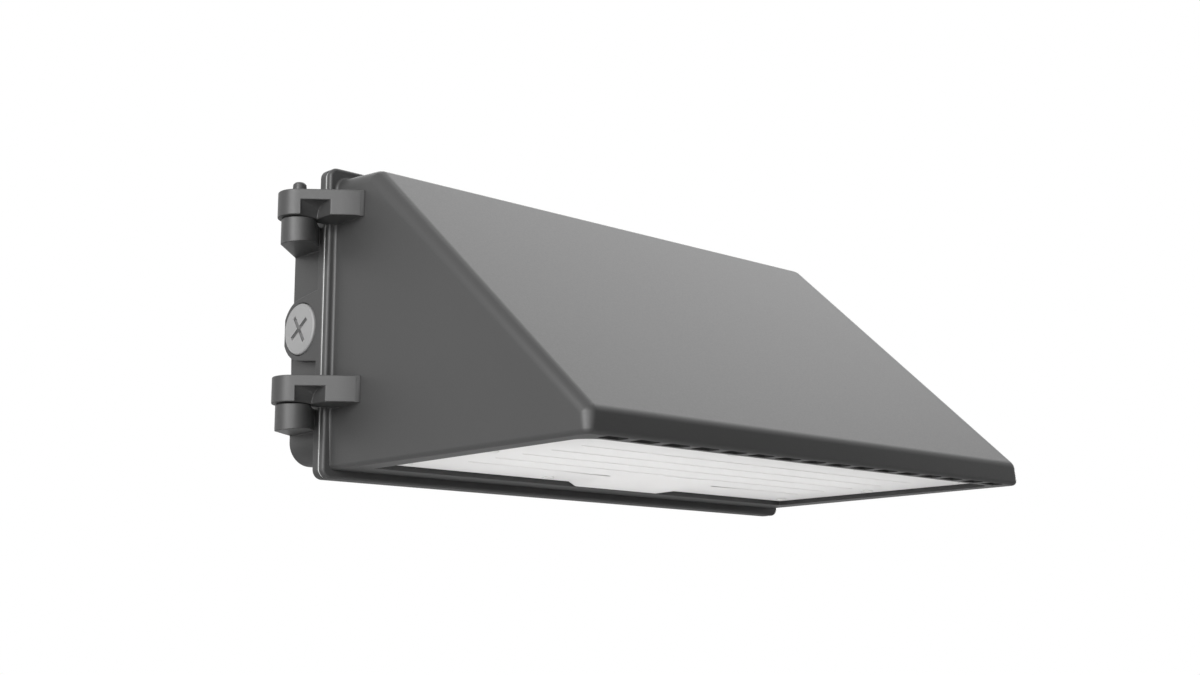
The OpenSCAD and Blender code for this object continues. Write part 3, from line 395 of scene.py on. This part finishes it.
# Lens screws
# Ten small plated steel screws go through the lens's border into the ledge behind it. Their round
# heads are pale. Their shallow drive recess is coloured dark grey as painted shade.
screw_white = finish("screw_white", srgb(222, 222, 220), rough=0.4, grain=0.0008, relief=0.00002,
                     uneven=0.02)
# Painted shade: this dark grey stands in for the shade inside the drive recess, which is plated
# steel like the head.
recess_painted_shade = finish("screw_recess_painted_shade", srgb(60, 60, 60), rough=0.6, grain=0.0008, relief=0.00002)
lens_face, head_r, head_h, head_sides = -0.0731, 0.0031, 0.0016, 32
head_bevel, recess_inset, recess_deep, head_near = 0.0005, 0.0016, 0.0005, 0.002
outer_x, inner_x, screw_rows = 0.142, 0.04828, (0.0284, 0.0944, 0.1604)
places = [(x, depth) for x in (-outer_x, -inner_x, inner_x, outer_x) for depth in screw_rows
          if abs(x) == outer_x or depth != screw_rows[1]]
face_down = Matrix.Rotation(radians(180), 4, "X")


def end_face(bm, middle):
    """The lower end face of the screw head at middle."""
    ends = [face for face in bm.faces if len(face.verts) == head_sides
            and (face.calc_center_median() - middle).length < head_near]
    return min(ends, key=lambda face: face.calc_center_median().z)


bm = bmesh.new()
for x, depth in places:
    middle = Vector((x, flange_front - depth, lens_face))
    bmesh.ops.create_cone(bm, cap_ends=True, segments=head_sides, radius1=head_r, radius2=head_r,
                          depth=head_h, matrix=Matrix.Translation(middle) @ face_down)
    bmesh.ops.bevel(bm, geom=end_face(bm, middle).edges[:], affect="EDGES", offset=head_bevel,
                    segments=3, profile=0.5, material=-1)
    recess = end_face(bm, middle)
    bmesh.ops.inset_individual(bm, faces=[recess], thickness=recess_inset)
    bmesh.ops.translate(bm, vec=(0, 0, recess_deep), verts=recess.verts)
    # The recess face takes the dark grey of painted shade.
    recess.material_index = 1
bmesh.ops.recalc_face_normals(bm, faces=bm.faces)
for face in bm.faces:
    face.smooth = True
heads_mesh = bpy.data.meshes.new("lens_screw_heads")
bm.to_mesh(heads_mesh)
bm.free()
heads_mesh.materials.append(screw_white)
heads_mesh.materials.append(recess_painted_shade)
heads = bpy.data.objects.new("lens_screw_heads", heads_mesh)
bpy.context.scene.collection.objects.link(heads)
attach(heads, "door")
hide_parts("lens_screws")

# Board, driver and terminal screws
# Small plated steel screws that hold the lamp boards and the driver to the shelf, and those that
# clamp the leads in the terminal block.
plated = finish("plated_steel", srgb(196, 200, 203), rough=0.32, grain=0.0008, relief=0.00002,
                uneven=0.04, metallic=0.9)
for node in ("board_screws", "driver_screws", "terminal_screws"):
    turned = softened(node, node + "_turned", width=0.00015)
    turned.data.materials.append(plated)
    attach(turned, "door")
    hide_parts(node)

# Lamp boards, chips and heat pads
# White-masked aluminium boards with soldered chips under yellow phosphor. Soft blue pads lie
# between them and the shelf, and screws hold both.
board_mask = finish("board_white", srgb(236, 236, 230), rough=0.3, grain=0.002, relief=0.00002)
phosphor = finish("chip_yellow", srgb(240, 208, 90), rough=0.5, grain=0.0005, relief=0.00003)
pad = finish("pad_blue", srgb(143, 178, 196), rough=0.7, grain=0.001, relief=0.00004)
for side in ("left", "right"):
    for node, material in (("led_board_", board_mask), ("leds_", phosphor), ("heat_pad_", pad)):
        recoat(node + side, material)

# Driver
# The power supply in its folded aluminium can on the shelf, screwed down by an ear at each end.
mill = finish("driver_can", srgb(186, 189, 190), rough=0.38, grain=0.0015, relief=0.00003,
              uneven=0.05, metallic=0.85)
can = softened("led_driver", "driver_can", width=0.0004)
can.data.materials.append(mill)
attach(can, "door")
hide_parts("led_driver")

# Terminal block and leads
# A three-pole block moulded in pale plastic, with three dark leads from the driver. Two red leads
# pass the shelf to the boards through a black rubber grommet.
terminal = finish("terminal_plastic", srgb(216, 214, 205), rough=0.5, grain=0.001, relief=0.00003)
dark_lead = finish("lead_dark", srgb(52, 55, 60), rough=0.45, grain=0.0008, relief=0.00002)
red_lead = finish("lead_red", srgb(156, 47, 42), rough=0.45, grain=0.0008, relief=0.00002)
block = softened("terminal_block", "terminal_moulding", width=0.0002)
block.data.materials.append(terminal)
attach(block, "door")
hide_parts("terminal_block")
for node, material in (("supply_leads", dark_lead), ("lamp_leads", red_lead),
                       ("wire_grommet", seal_rubber)):
    recoat(node, material)

# Door screws and their rings
# Two captive plated steel screws hold the door shut. A black rubber ring pushed onto each shank
# keeps it in its lug.
for side in ("upper", "lower"):
    screw = softened("door_screw_" + side, "door_screw_turned_" + side, width=0.0002)
    screw.data.materials.append(plated)
    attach(screw, side + "_screw")
    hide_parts("door_screw_" + side)
    recoat("screw_ring_" + side, seal_rubber)
